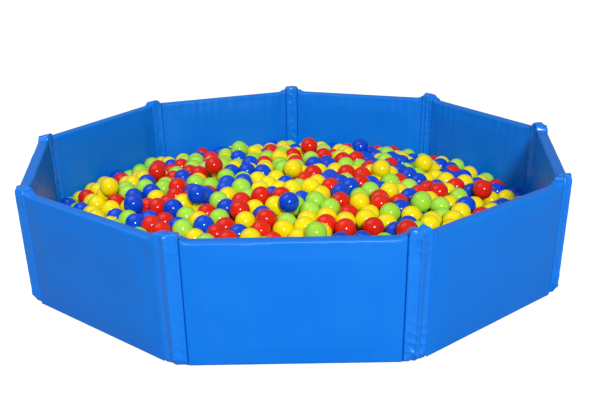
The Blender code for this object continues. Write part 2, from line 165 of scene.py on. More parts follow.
def makeVinyl(name):
    look, grain = vinyls[name], vinylGrain
    skin = Skin(name)
    clouds = skin.noise(grain["cloudPerMetre"], grain["cloudDetail"])
    smears = skin.noise(grain["smearPerMetre"], grain["smearDetail"], skin.stretched(grain["smearStretch"]))
    dust = (clouds - grain["dustFrom"]) * grain["dustCloud"] + (smears - middling) * grain["dustSmear"]
    pebbles = skin.cells(grain["grainPerMetre"], "SMOOTH_F1")
    wave = skin.noise(grain["smearPerMetre"], grain["waveDetail"])
    wear = (clouds - middling) * grain["wearCloud"] + (smears - middling) * grain["wearSmear"]
    skin.set(Base_Color=skin.mixed(dust.clamped() * grain["dustMost"], look["colour"], look["pale"]))
    skin.set(Roughness=wear + look["rough"], Specular_IOR_Level=look["shine"], IOR=grain["ior"])
    skin.bump(pebbles + wave * grain["grainWave"], grain["grainHeight"], grain["grainStrength"])
    return skin.material


# balls: moulded plastic, each a little lighter or darker than the next
ballShades = {
    "yellow": dict(colour=(0.95, 0.82, 0.0, 1), deep=(0.91, 0.72, 0.0, 1)),
    "red": dict(colour=(0.80, 0.020, 0.004, 1), deep=(0.68, 0.010, 0.002, 1)),
    "blue": dict(colour=(0.0, 0.075, 0.71, 1), deep=(0.0, 0.050, 0.57, 1)),
    "green": dict(colour=(0.42, 0.82, 0.075, 1), deep=(0.34, 0.72, 0.035, 1)),
}
ballSkin = dict(
    rough=0.12, ior=1.42, eachRough=0.05, streakRough=0.08, eachDeep=0.75, streakDeep=0.5, streakFrom=0.4,
    streakPerMetre=90, streakDetail=3.0, peelPerMetre=240, peelDetail=2.0,
    peelHeight=0.00003, peelStrength=0.5,
)


def makeBallSkin(colour):
    look, feel = ballShades[colour], ballSkin
    skin = Skin("ball" + colour.capitalize())
    each = skin.add("NewGeometry", {}, {}, "Random Per Island")
    streaks = skin.noise(feel["streakPerMetre"], feel["streakDetail"])
    deep = (each * feel["eachDeep"] + (streaks - feel["streakFrom"]) * feel["streakDeep"]).clamped()
    rough = each * feel["eachRough"] + (streaks - middling) * feel["streakRough"] + feel["rough"]
    skin.set(Base_Color=skin.mixed(deep, look["colour"], look["deep"]), Roughness=rough, IOR=feel["ior"])
    skin.bump(skin.noise(feel["peelPerMetre"], feel["peelDetail"]), feel["peelHeight"], feel["peelStrength"])
    return skin.material


# the hidden pieces: foam, zips, hook and loop strips
foamSkin = dict(
    colour=(0.80, 0.78, 0.66, 1), deep=(0.58, 0.55, 0.42, 1), cellPerMetre=420, cellShade=0.9, rough=0.85,
    finePerMetre=900, fineDetail=2.0, fineRough=0.1, height=0.0006, fineHeight=0.4,
)
tapes = {
    "zip": dict(colour=(0.008, 0.022, 0.11, 1), pale=(0.02, 0.05, 0.22, 1),
                perMetre=900, height=0.0002, rough=0.48),
    "hook": dict(colour=(0.006, 0.012, 0.05, 1), pale=(0.02, 0.04, 0.12, 1),
                 perMetre=650, height=0.0007, rough=0.72),
    "loop": dict(colour=(0.008, 0.02, 0.08, 1), pale=(0.03, 0.06, 0.18, 1),
                 perMetre=380, height=0.0008, rough=0.85),
}
tapeFuzz = dict(scale=1.7, detail=3.0, rough=0.12, height=0.5)


def makeFoam():
    skin = Skin("foam")
    cells = skin.cells(foamSkin["cellPerMetre"])
    fine = skin.noise(foamSkin["finePerMetre"], foamSkin["fineDetail"])
    skin.set(Base_Color=skin.mixed(cells * foamSkin["cellShade"], foamSkin["colour"], foamSkin["deep"]))
    skin.set(Roughness=fine * foamSkin["fineRough"] + foamSkin["rough"])
    skin.bump(cells + fine * foamSkin["fineHeight"], foamSkin["height"])
    return skin.material


def makeTape(name):
    look = tapes[name]
    skin = Skin(name + "Tape")
    weave = skin.cells(look["perMetre"])
    fuzz = skin.noise(look["perMetre"] * tapeFuzz["scale"], tapeFuzz["detail"])
    skin.set(Base_Color=skin.mixed(fuzz, look["colour"], look["pale"]))
    skin.set(Roughness=fuzz * tapeFuzz["rough"] + look["rough"])
    skin.bump(weave + fuzz * tapeFuzz["height"], look["height"])
    return skin.material


skins = {name: makeVinyl(name) for name in vinyls}
skins.update({colour: makeBallSkin(colour) for colour in ballShades})
skins["foam"] = makeFoam()
skins.update({name: makeTape(name) for name in tapes})
print("materials made:", len(skins))


# the ring, measured on the front wall's solid
ring = dict(walls=9, crown=0.0035, facet=0.042, firstAngle=-math.pi / 2)
frontLow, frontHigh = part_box("wall_cover_1")
turn = 2 * math.pi / ring["walls"]
wallLong = frontHigh.x - frontLow.x
wallThick = frontHigh.y - frontLow.y - 2 * ring["crown"]
wallHigh = frontHigh.z
faceAway = -frontLow.y - ring["crown"]
ridgeAway = faceAway / math.cos(turn / 2)
facet = ring["facet"]
stripDepth = facet * math.sin(turn / 2) + wallThick * math.cos(turn / 2)
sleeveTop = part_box("corner_sleeve_1")[1].z
standing = "wall_7"  # the wall that stands still while the others fold


def turned(angle, away):
    foot = Vector((away * math.cos(angle), away * math.sin(angle), 0))
    return Matrix.Translation(foot) @ Matrix.Rotation(angle + math.pi / 2, 4, "Z")


def wallPlace(number):  # x runs anticlockwise along the wall, y into the ring
    return turned(ring["firstAngle"] + turn * (number - 1), faceAway)


def cornerPlace(number):  # x is the tangent, y points into the ring
    return turned(ring["firstAngle"] + turn * (number - 0.5), ridgeAway)


def addPiece(name, mesh, skin, place=None):
    piece = bpy.data.objects.new(name, mesh)
    scene.collection.objects.link(piece)
    mesh.materials.clear()
    mesh.materials.append(skins[skin])
    if place:
        mesh.transform(place)
    return piece


def readPoints(mesh):
    points = np.zeros(len(mesh.vertices) * 3)
    mesh.vertices.foreach_get("co", points)
    return points.reshape(-1, 3)


def writePoints(mesh, points):
    mesh.vertices.foreach_set("co", points.ravel())
    mesh.update()


def step(value, low, high):
    share = np.clip((value - low) / (high - low), 0, 1)
    return share * share * (3 - 2 * share)


def bead(distance, wide):
    return np.exp(-((distance / wide) ** 2))


def crumple(across, along, seed, waves=9):  # smooth random waves, about -1 to 1
    draws = np.random.default_rng(seed).uniform(0, 2 * math.pi, (waves, 2))
    total = 0
    for direction, phase in draws:
        total = total + np.sin(across * math.cos(direction) + along * math.sin(direction) + phase)
    return total / math.sqrt(waves)


def creased(across, along, seed):  # the same waves, pinched into soft creases
    return 1 - 2 * np.abs(np.clip(crumple(across, along, seed), -1, 1))


# wall pads: foam slabs in tight vinyl, swelled as cloth, then puckered along their seams
pad = dict(
    edge=0.009, edgeSteps=3, cell=0.0115, margin=0.0004,
    onFace=0.97, freeLong=(0.8, 0.985), freeHigh=(0.75, 0.975),  # where it swells, as shares of half its size
    quality=5, mass=0.4, pressure=4.0, frames=20, swellCap=0.0042,
    square=0.55, squareFrom=1.1, squareWide=0.004, faceFrom=0.30, faceTo=0.46,
    pucker=0.0009, puckerLong=0.034, puckerFade=0.085, puckerPitch=(6.3, 1.6), innerShare=0.6,
    endPucker=0.5, footPucker=0.35, seamFade=0.03, broad=0.0008, broadLong=0.17, broadPitch=6.3, broadWaves=7,
    calmEnd=0.02, calmTop=0.012, calmFoot=0.012, dent=0.0011, broadSeeds=500,
    # the top edge curls up beside each sleeve, and less so at some corners
    curl=0.0155, curlLong=0.030, curlHigh=0.035, curlShares={3: 0.6, 6: 0.15, 7: 0.1},
    zipDeep=0.0017, zipLong=0.5, zipWide=0.016, zipMargin=0.001, zipHigh=0.004,
)
padCore = dict(smaller=0.005, edge=0.009, edgeSteps=2, cell=0.03)


def slab(length, thick, high, look):
    shape = bmesh.new()
    bmesh.ops.create_cube(shape, size=1)
    bmesh.ops.scale(shape, vec=(length, thick, high), verts=shape.verts)
    edge, steps = look["edge"], look["edgeSteps"]
    bmesh.ops.bevel(shape, geom=shape.edges[:], offset=edge, segments=steps, profile=0.5, affect="EDGES")
    for axis, extent in ((0, length), (1, thick), (2, high)):
        room = extent / 2 - edge
        count = max(2, round(2 * room / look["cell"]))
        for index in range(1, count):
            normal = Vector((0, 0, 0))
            normal[axis] = 1
            everything = shape.verts[:] + shape.edges[:] + shape.faces[:]
            middle = normal * (2 * room * index / count - room)
            bmesh.ops.bisect_plane(shape, geom=everything, plane_co=middle, plane_no=normal)
    mesh = bpy.data.meshes.new("slab")
    shape.to_mesh(mesh)
    shape.free()
    return mesh


def swell(piece, pinned):
    rest = readPoints(piece.data)
    held = piece.vertex_groups.new(name="held")
    for index, weight in enumerate(pinned):
        held.add([index], float(weight), "REPLACE")
    cloth = piece.modifiers.new("swell", "CLOTH")
    cloth.settings.quality = pad["quality"]
    cloth.settings.mass = pad["mass"]
    cloth.settings.use_pressure = True
    cloth.settings.uniform_pressure_force = pad["pressure"]
    cloth.settings.effector_weights.gravity = 0
    cloth.settings.vertex_group_mass = "held"
    cloth.point_cache.frame_start, cloth.point_cache.frame_end = 1, pad["frames"]
    for number in range(1, pad["frames"] + 1):
        scene.frame_set(number)
    shown = piece.evaluated_get(bpy.context.evaluated_depsgraph_get())
    moved = readPoints(shown.to_mesh()) - rest
    shown.to_mesh_clear()
    piece.modifiers.remove(cloth)
    scene.frame_set(1)
    far = np.linalg.norm(moved, axis=1)
    print("  swelled by", round(float(far.max()) * 1000, 1), "mm at most")
    moved *= (np.minimum(far, pad["swellCap"]) / np.maximum(far, 1e-9))[:, None]
    writePoints(piece.data, rest + moved)
    piece.vertex_groups.clear()


def smoothed(piece):
    rounder = piece.modifiers.new("rounder", "SUBSURF")
    rounder.levels = rounder.render_levels = 1
    shown = piece.evaluated_get(bpy.context.evaluated_depsgraph_get())
    mesh = bpy.data.meshes.new_from_object(shown)
    piece.modifiers.clear()
    piece.data = mesh
    mesh.shade_smooth()
    return mesh


def makeBasePad():
    inset = 2 * pad["margin"]
    mesh = slab(wallLong - inset, wallThick - inset, wallHigh - inset, pad)
    piece = addPiece("basePad", mesh, "wallVinyl")
    share = np.abs(readPoints(mesh)) / (np.array([wallLong, wallThick, wallHigh]) / 2)
    nearEdge = np.maximum(step(share[:, 0], *pad["freeLong"]), step(share[:, 2], *pad["freeHigh"]))
    swell(piece, np.where(share[:, 1] > pad["onFace"], nearEdge, 1.0))
    mesh = smoothed(piece)
    points = readPoints(mesh)
    points[:, 1] += wallThick / 2
    points[:, 2] += wallHigh / 2
    writePoints(mesh, points)
    bpy.data.objects.remove(piece)
    return mesh


def puckered(points, number):
    x, y, z = points.T
    side, half = np.where(y > wallThick / 2, 1.0, -1.0), wallThick / 2
    thin = np.abs(y - half)  # the upright edges at both ends are less round than the top ones
    fuller = pad["square"] * (half - thin) * np.clip(thin / (half - pad["edge"]), 0, 1)
    pastEdge = pad["edge"] * pad["squareFrom"] - wallLong / 2 + np.abs(x)
    y = y + side * fuller * step(pastEdge, 0.0, pad["squareWide"])
    onFace = step(np.abs(y - wallThick / 2), wallThick * pad["faceFrom"], wallThick * pad["faceTo"])
    seed = number * 10 + (side > 0).astype(int)
    endGap, topGap = wallLong / 2 - np.abs(x), wallHigh - z
    shift = np.zeros(len(points))
    for key in np.unique(seed):
        mine = seed == key
        across, up = x[mine], z[mine]
        pitch, slow = pad["puckerPitch"]
        soft = crumple(across / pad["puckerLong"] * pitch, up / pad["puckerFade"] * slow, key)
        pitch, long = pad["broadPitch"], pad["broadLong"]
        wide = crumple(across / long * pitch, up / long * pitch, key + pad["broadSeeds"], pad["broadWaves"])
        nearSeam = np.exp(-topGap[mine] / pad["puckerFade"])
        nearSeam = nearSeam + pad["endPucker"] * np.exp(-endGap[mine] / pad["seamFade"])
        nearSeam = nearSeam + pad["footPucker"] * np.exp(-up / pad["seamFade"])
        calm = step(endGap[mine], 0.0, pad["calmEnd"]) * step(topGap[mine], 0.0, pad["calmTop"])
        calm = calm * step(up, 0.0, pad["calmFoot"])
        inward = np.where(side[mine] > 0, 1.0, pad["innerShare"])
        shift[mine] = calm * (pad["pucker"] * nearSeam * soft * inward + pad["broad"] * wide)
    y = y + side * onFace * np.maximum(shift, -pad["dent"])
    curl = np.clip(1 - endGap / pad["curlLong"], 0, 1) ** 2 * step(z, wallHigh - pad["curlHigh"], wallHigh)
    before = (number - 2) % ring["walls"] + 1
    shares = [pad["curlShares"].get(corner, 1) for corner in (before, number)]
    z = z + pad["curl"] * curl * np.where(x > 0, shares[1], shares[0])
    beside = np.abs(y - wallThick / 2) < pad["zipWide"] / 2 + pad["zipMargin"]
    slot = (np.abs(x) < pad["zipLong"] / 2) & beside & (z < pad["zipHigh"])
    return np.column_stack([x, y, np.where(slot, np.maximum(z, pad["zipDeep"]), z)])


def makeWalls():
    base = makeBasePad()
    smaller = padCore["smaller"]
    core = slab(wallLong - smaller, wallThick - smaller, wallHigh - smaller, padCore)
    middle = Matrix.Translation((0, wallThick / 2, wallHigh / 2))
    for number in range(1, ring["walls"] + 1):
        mesh = base.copy()
        writePoints(mesh, puckered(readPoints(mesh), number))
        cover = addPiece(f"padCover{number}", mesh, "wallVinyl", wallPlace(number))
        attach(cover, f"wall_{number}")
        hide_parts(f"wall_cover_{number}")
        foam = addPiece(f"padCore{number}", core.copy(), "foam", wallPlace(number) @ middle)
        foam.data.shade_smooth()
        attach(foam, f"wall_{number}")
        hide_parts(f"wall_foam_{number}")
        frame["nodes"][f"wall_zip_{number}"].data.materials[0] = skins["zip"]
    print("walls made")


makeWalls()

# corner sleeves: empty lengths of the same vinyl, with welded hems, wrinkles and folded ends
sleeve = dict(
    cell=0.0022, rowHigh=0.0035, rowLow=0.0018, lowOver=0.006, floorGap=0.0006, wallGap=0.0006, closing=0.004,
    round=0.0036, hem=0.0017, hemIn=0.0044, hemWide=0.0022, lip=0.0026, lipWide=0.0021,
    ridge=0.0019, ridgeWide=0.0038, sink=0.0017, wrinkle=0.0009,
    stripHem=0.0012, stripHemIn=0.0022, stripSink=0.0034, stripWrinkle=0.0019,
    foot=0.025, footEnds=0.015, footSlope=0.62, footCrease=0.0015, footWide=0.0024, footFacing=0.003,
    lap=0.0022, lapUnder=0.9, lapShare=0.10, turnFrom=0.0004, turnTo=0.0016,
    # the folds that run down a facet wander and swell on their way up
    valley=dict(
        wide=0.14, wander=0.05, wanderLong=0.07, wanderTurn=9, swell=0.4, swellLong=0.045, swellTurn=20,
    ),
    # how long the waves and the slanting creases are across and up, and where they are strongest
    wrinkles=dict(
        waveAcross=0.016, waveUp=0.085, slantAcross=0.034, slantUp=0.075, acrossPitch=3.0, upPitch=6.3,
        slantLean=0.7, slantBack=0.5, slantSeeds=40, facetMix=(0.6, 0.8), stripMix=(0.5, 0.7),
        least=0.45, lowerFade=0.09, upper=0.9, upperFade=0.05, calmEdge=0.02,
    ),
    # what all folded tops share: their rows, how they draw in, their lumps, and the vinyl inside the crest
    top=dict(
        rows=10, drawIn=1.15, flatten=0.30, roundness=0.9, under=0.0016, notchAway=0.004, notchWide=0.006,
        lumpLong=0.012, lumpRise=2.0, lumpSeeds=90, lumpOut=0.6, lumpDrop=0.6,
        puffLong=0.010, puffSeeds=70, puffOut=0.8, inner=(0.82, 0.62, 0.42, 0.22, 0.08), innerRise=0.0022,
        creaseAcross=0.008, creaseAlong=0.02, creaseShare=0.7, creaseSeeds=11,
    ),
)
# each corner's folded top (half width and shift of its crest, height, how far it falls towards the outside,
# lumps, a notch), how crushed its vinyl is and how much more so near the floor, and the folds that run down
# its facets: side, place between ridge and hem, depth
folds = {
    1: dict(lower=2.0, half=0.024, shift=0.000, tall=0.90, lean=0.0, lump=0.0036, notch=0.42, crush=2.1,
            valleys=((-1, 0.24, 0.0034), (1, 0.44, 0.0026))),
    2: dict(lower=2.0, half=0.026, shift=-0.004, tall=0.92, lean=0.0, lump=0.0038, notch=0.40, crush=2.3,
            valleys=((-1, 0.40, 0.0030), (1, 0.30, 0.0030))),
    3: dict(lower=1.4, half=0.015, shift=0.002, tall=1.0, lean=0.40, lump=0.0026, notch=0.30, crush=1.7,
            valleys=((1, 0.5, 0.002),)),
    4: dict(lower=1.0, half=0.017, shift=0.007, tall=0.90, lean=0.0, lump=0.0012, notch=0.08, crush=1.2,
            valleys=((-1, 0.4, 0.002),)),
    5: dict(lower=1.0, half=0.022, shift=0.0, tall=0.86, lean=0.0, lump=0.0007, notch=0.0, crush=1.1,
            valleys=((1, 0.5, 0.0015),)),
    6: dict(lower=1.0, half=0.006, shift=0.006, tall=0.92, lean=0.75, lump=0.0009, notch=0.0, crush=1.0,
            valleys=((-1, 0.5, 0.002),)),
    7: dict(lower=1.2, half=0.006, shift=0.003, tall=0.90, lean=0.95, lump=0.0012, notch=0.0, crush=1.3,
            valleys=((1, 0.4, 0.002),)),
    8: dict(lower=1.6, half=0.030, shift=-0.002, tall=0.62, lean=0.0, lump=0.0014, notch=0.10, crush=1.5,
            valleys=((1, 0.62, 0.0024), (-1, 0.5, 0.002))),
    9: dict(lower=0.9, half=0.036, shift=0.001, tall=0.76, lean=0.0, lump=0.0013, notch=0.0, crush=1.1,
            valleys=((-1, 0.5, 0.0016),)),
}


def bent(side, along, deep):  # a point of one half of the corner, along its facet and into the ring
    half = turn / 2
    x = side * (along * math.cos(half) - deep * math.sin(half))
    return x, along * math.sin(half) + deep * math.cos(half)


def sleeveOutline(freeCut, part):
    # corners of the outline with what each stretch is; part is "whole", "left" or "right"
    left, right, edge, lap = facet - sleeve["wallGap"], facet - freeCut, sleeve["round"], sleeve["lap"]
    rightHalf = [(bent(1, right - edge, 0), "end"), (bent(1, right, edge), "end")]
    leftHalf = [(bent(-1, left, wallThick), "end"), (bent(-1, left, edge), "end")]
    leftHalf.append((bent(-1, left - edge, 0), "facet"))
    if part == "whole":
        return [((0, 0), "facet"), *rightHalf, (bent(1, right, wallThick), "strip"), *leftHalf]
    if part == "right":
        inner = bent(1, right, wallThick - lap)
        return [((0, 0), "facet"), *rightHalf, (inner, "strip"), ((0, stripDepth - lap), "cut")]
    under, reach = stripDepth - lap * sleeve["lapUnder"], bent(1, right, 0)[0] * sleeve["lapShare"]
    flap = [((0, under), "under"), ((reach, under), "lip"), ((reach, stripDepth), "strip")]
    return [((0, 0), "cut"), *flap, *leftHalf]


def traced(outline):
    # points along the outline, with each stretch's kind, the place along it and its length
    rows = []
    for (start, kind), (end, _) in zip(outline, outline[1:] + outline[:1]):
        start, end = np.array(start, float), np.array(end, float)
        long = np.linalg.norm(end - start)
        count = max(1, round(long / sleeve["cell"]))
        for index in range(count):
            rows.append((*(start + (end - start) * index / count), kind, long * index / count, long))
    points = np.array([row[:2] for row in rows])
    points = (np.roll(points, 1, 0) + 2 * points + np.roll(points, -1, 0)) / 4
    kinds = np.array([row[2] for row in rows])
    along = np.array([row[3] for row in rows])
    long = np.array([row[4] for row in rows])
    ahead = np.roll(points, -1, 0) - np.roll(points, 1, 0)
    outward = np.column_stack([ahead[:, 1], -ahead[:, 0]])
    return points, kinds, along, long, outward / np.linalg.norm(outward, axis=1)[:, None]


def calmAtEnds(share):  # wrinkles die out at both ends of a stretch
    edge = sleeve["wrinkles"]["calmEdge"]
    return np.sin(math.pi * np.clip(share, edge, 1 - edge)) ** 0.5


def wrinkled(across, level, seed):
    # a wave and a slanting crease at each point of one row
    look = sleeve["wrinkles"]
    pitch, rise = look["acrossPitch"], look["upPitch"]
    up = np.full(len(across), level / look["waveUp"] * rise)
    wave = crumple(across / look["waveAcross"] * pitch, up, seed)
    slantAcross = (across + look["slantLean"] * level) / look["slantAcross"] * pitch
    slantUp = (level - look["slantBack"] * across) / look["slantUp"] * rise
    return wave, creased(slantAcross, slantUp, seed + look["slantSeeds"])


def skinShift(points, kinds, along, long, level, corner):
    # how far the vinyl stands out at each point of one row
    valley, wrinkles = sleeve["valley"], sleeve["wrinkles"]
    fold, seed, shift = folds[corner], 100 * corner, np.zeros(len(kinds))
    facets, strips = kinds == "facet", (kinds == "strip") | (kinds == "under")
    side, fromRidge = np.sign(points[:, 0]), np.hypot(points[:, 0], points[:, 1])
    share, stripGap = np.clip(fromRidge / facet, 0, 1), np.minimum(along, long - along)
    shift += facets * sleeve["hem"] * bead(facet - fromRidge - sleeve["hemIn"], sleeve["hemWide"])
    shift -= facets * sleeve["lip"] * bead(facet - fromRidge, sleeve["lipWide"])
    shift += facets * sleeve["ridge"] * bead(fromRidge, sleeve["ridgeWide"])
    shift -= facets * sleeve["sink"] * np.sin(math.pi * share)
    for where, at, deep in fold["valleys"]:
        at = at + valley["wander"] * math.sin(level / valley["wanderLong"] + valley["wanderTurn"] * at)
        deep = deep * (1 + valley["swell"] * math.sin(level / valley["swellLong"] + valley["swellTurn"] * at))
        shift -= facets * (side == where) * deep * bead(share - at, valley["wide"])
    wave, slant = wrinkled(np.where(facets, side * fromRidge, along), level, seed)
    ends = wrinkles["least"] + fold["lower"] * bead(level, wrinkles["lowerFade"])
    ends += wrinkles["upper"] * bead(wallHigh - level, wrinkles["upperFade"])
    waves, slants = wrinkles["facetMix"]
    crushed = sleeve["wrinkle"] * fold["crush"] * ends * (waves * wave + slants * slant)
    shift += facets * calmAtEnds(share) * crushed
    shift += strips * sleeve["stripHem"] * bead(stripGap - sleeve["stripHemIn"], sleeve["hemWide"])
    shift -= strips * sleeve["stripSink"] * np.sin(math.pi * along / long)
    waves, slants = wrinkles["stripMix"]
    shift += strips * calmAtEnds(along / long) * sleeve["stripWrinkle"] * (waves * wave + slants * slant)
    return shift


def foldedFoot(points, level):
    # below a crease that is highest at the ridge, the facets fold back and under
    out = np.clip(np.abs(points[:, 0]) / (facet * math.cos(turn / 2)), 0, 1)
    behind = points[:, 1] - np.abs(points[:, 0]) * math.tan(turn / 2)
    below = sleeve["foot"] + (sleeve["footEnds"] - sleeve["foot"]) * out - level
    push = sleeve["footSlope"] * np.maximum(below, 0) * (1 - np.clip(behind / wallThick, 0, 1))
    crease = sleeve["footCrease"] * bead(below, sleeve["footWide"]) * (behind < sleeve["footFacing"])
    return np.column_stack([np.zeros(len(points)), push - crease])


def topShape(points, share, fold, seed):
    # one row of the folded top; share runs from 0 at the walls' height to 1 at the crest
    look, middle = sleeve["top"], stripDepth / 2
    widest = np.abs(points[:, 0]).max()
    close = 1 - (1 - min(1, fold["half"] / widest)) * share ** look["drawIn"]
    x = points[:, 0] * close + fold["shift"] * share
    y = middle + (points[:, 1] - middle) * (1 - look["flatten"] * share**2)
    lumpUp = y / look["lumpLong"] + share * look["lumpRise"]
    lump = crumple(x / look["lumpLong"], lumpUp, seed + look["lumpSeeds"])
    puff = crumple(x / look["puffLong"], y / look["puffLong"], seed + look["puffSeeds"])
    notch = fold["notch"] * bead(x - fold["shift"] - look["notchAway"], look["notchWide"]) * share
    slope = 1 - fold["lean"] * share * (1 - y / stripDepth)
    rise = (sleeveTop - wallHigh) * fold["tall"] * math.sin(share * math.pi / 2) ** look["roundness"]
    lumps = fold["lump"] * share
    z = wallHigh + rise * slope * (1 - notch) - look["under"] + lumps * (lump - look["lumpDrop"])
    return np.column_stack([x + lumps * lump * look["lumpOut"], y + lumps * puff * look["puffOut"], z])


def sleeveMesh(corner, freeCut, part):
    points, kinds, along, long, outward = traced(sleeveOutline(freeCut, part))
    look, fold, seed = sleeve["top"], folds[corner], 100 * corner
    rings = []
    low = np.arange(sleeve["floorGap"], sleeve["foot"] + sleeve["lowOver"], sleeve["rowLow"])
    high = np.linspace(low[-1], wallHigh, round((wallHigh - low[-1]) / sleeve["rowHigh"]) + 1)
    for level in np.concatenate([low, high[1:]]):
        row = points + outward * skinShift(points, kinds, along, long, level, corner)[:, None]
        rings.append(np.column_stack([row + foldedFoot(points, level), np.full(len(row), level)]))
    top = rings[-1][:, :2]
    for share in np.linspace(0, 1, look["rows"] + 1)[1:]:
        rings.append(topShape(top, share, fold, seed))
    crest = rings[-1]
    centre = crest.mean(axis=0)
    for share in look["inner"]:
        row = centre + (crest - centre) * share
        row[:, 2] = crest[:, 2] * share + centre[2] * (1 - share) + look["innerRise"] * (1 - share**2)
        across, up = row[:, 0] / look["creaseAcross"], row[:, 1] / look["creaseAlong"]
        crease = creased(across, up, seed + look["creaseSeeds"])
        row[:, 2] += fold["lump"] * look["creaseShare"] * crease * (1 - share)
        rings.append(row)
    return loft(f"sleeve{corner}", rings)


def loft(name, rings):
    wide = len(rings[0])
    points = np.concatenate(rings)
    faces = []
    for row in range(len(rings) - 1):
        low, high = row * wide, (row + 1) * wide
        for index in range(wide):
            after = (index + 1) % wide
            faces.append((low + index, low + after, high + after, high + index))
    faces.append(tuple(range(wide))[::-1])
    last = (len(rings) - 1) * wide
    faces.append(tuple(range(last, last + wide)))
    mesh = bpy.data.meshes.new(name)
    mesh.from_pydata(points.tolist(), [], faces)
    shape = bmesh.new()
    shape.from_mesh(mesh)
    bmesh.ops.recalc_face_normals(shape, faces=shape.faces)
    shape.to_mesh(mesh)
    shape.free()
    mesh.shade_smooth()
    return mesh


# the joint between each two walls; the corner where the ring opens has none
hinged = {frozenset((joint["parent"], joint["child"])): joint for joint in frame["joints"]}
bendMost = 180  # degrees that one sleeve can bend; past this it is made as two halves


def cornerBodies(corner):
    return f"wall_{corner}", f"wall_{corner % ring['walls'] + 1}"


def dressSleeve(corner):
    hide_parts(f"corner_sleeve_{corner}")


def makeSleeves():
    for corner in range(1, ring["walls"] + 1):
        before, after = cornerBodies(corner)
        joint = hinged.get(frozenset((before, after)))
        place = cornerPlace(corner)
        if joint and joint["range_deg"][1] > bendMost:
            for part, body in (("left", before), ("right", after)):
                mesh = sleeveMesh(corner, sleeve["wallGap"], part)
                piece = addPiece(f"sleeve{corner}{part.capitalize()}", mesh, "sleeveVinyl", place)
                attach(piece, body)
                dressSleeve(corner)
            continue
        mesh = sleeveMesh(corner, sleeve["wallGap"] if joint else sleeve["closing"], "whole")
        if not joint:  # the free end is on the side of the wall before the opening corner
            mesh.transform(Matrix.Diagonal((-1, 1, 1, 1)))
            mesh.flip_normals()
        piece = addPiece(f"sleeve{corner}", mesh, "sleeveVinyl", place)
        if joint:
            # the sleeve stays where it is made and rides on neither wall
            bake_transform(piece)
        else:
            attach(piece, after)
        dressSleeve(corner)
    frame["nodes"]["closure_hook_strip"].data.materials[0] = skins["hook"]
    frame["nodes"]["closure_loop_strip"].data.materials[0] = skins["loop"]
    print("sleeves made")


makeSleeves()

# floor mat: a flat nine-sided pad under the balls
mat = dict(
    gap=0.0016, edge=0.006, footEdge=0.0015, floorGap=0.0004, rings=12, sideRows=9, cell=0.04,
    firstRing=0.02, crowd=0.8, coreInset=0.0022, dimple=0.0012, dimplePitch=30, dimpleSeed=5, dimpleTo=0.99,
    coreCalm=300,  # the dimples fade with the inset, to a third on the core
)


def crossing(first, second):  # where two sides meet; each is the angle and the length of its normal
    (angleA, awayA), (angleB, awayB) = first, second
    x = awayA * math.sin(angleB) - awayB * math.sin(angleA)
    y = awayB * math.cos(angleA) - awayA * math.cos(angleB)
    return x / math.sin(angleB - angleA), y / math.sin(angleB - angleA)


def matOutline():
    corners = []
    inner = faceAway - wallThick - mat["gap"]
    strip = ridgeAway - stripDepth - mat["gap"]
    for number in range(ring["walls"]):
        angle = ring["firstAngle"] + turn * number
        wallSide, before, after = (angle, inner), (angle - turn / 2, strip), (angle + turn / 2, strip)
        corners += [crossing(before, wallSide), crossing(wallSide, after)]
    rows = []
    for start, end in zip(corners, corners[1:] + corners[:1]):
        start, end = np.array(start), np.array(end)
        count = max(2, round(np.linalg.norm(end - start) / mat["cell"]))
        rows += [start + (end - start) * index / count for index in range(count)]
    return np.array(rows)


def matMesh(name, inset):
    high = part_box("mat_cover")[1].z
    outline = matOutline() * (1 - inset / faceAway)
    low, top, edge, foot = mat["floorGap"] + inset, high - inset, mat["edge"], mat["footEdge"]
    shares = np.linspace(mat["firstRing"], 1, mat["rings"]) ** mat["crowd"]
    rings = []
    for share in shares:
        rings.append(np.column_stack([outline * (share - foot / faceAway), np.full(len(outline), low)]))
    for angle in np.linspace(-math.pi / 2, math.pi / 2, mat["sideRows"])[1:-1]:
        out = 1 - (edge if angle > 0 else foot) / faceAway * (1 - math.cos(angle))
        level = (low + top) / 2 + math.sin(angle) * (top - low) / 2
        rings.append(np.column_stack([outline * out, np.full(len(outline), level)]))
    pitch = mat["dimplePitch"]
    for share in shares[::-1]:
        flat = outline * (share - edge / faceAway)
        dimple = mat["dimple"] * crumple(flat[:, 0] * pitch, flat[:, 1] * pitch, mat["dimpleSeed"])
        dimple = np.abs(dimple * (1 - inset * mat["coreCalm"])) * (share < mat["dimpleTo"])
        rings.append(np.column_stack([flat, top - dimple]))
    return loft(name, rings)


def makeMat():
    for name, inset, skin, node, slotName in (
        ("matPad", 0.0, "matVinyl", "mat_cover", "mat_vinyl"),
        ("matCore", mat["coreInset"], "foam", "mat_foam", "foam"),
    ):
        piece = addPiece(name, matMesh(name, inset), skin)
        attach(piece, standing)
        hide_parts(node)
    frame["nodes"]["mat_zip"].data.materials[0] = skins["zip"]
    print("mat made")


makeMat()

# balls: the bed's top layer stands on the frame's domes, and more balls settle under it
pit = dict(
    ball=0.075, wallGap=0.005, gather=0.75, footPart=3,  # the lowest third of the heap's height holds no dome
    under=0.98, scatter=4, drop=0.80, deepest=1.15, steps=60, listEvery=5, near=1.35, fall=0.03, relax=0.55,
    seed=41, colourSeed=42, fine=3, plain=2, mix=(0.30, 0.24, 0.26, 0.21),  # yellow, red, blue, green
)
looseNames = [name for name in frame["nodes"] if name.startswith("ball_") and name != "ball_heap"]


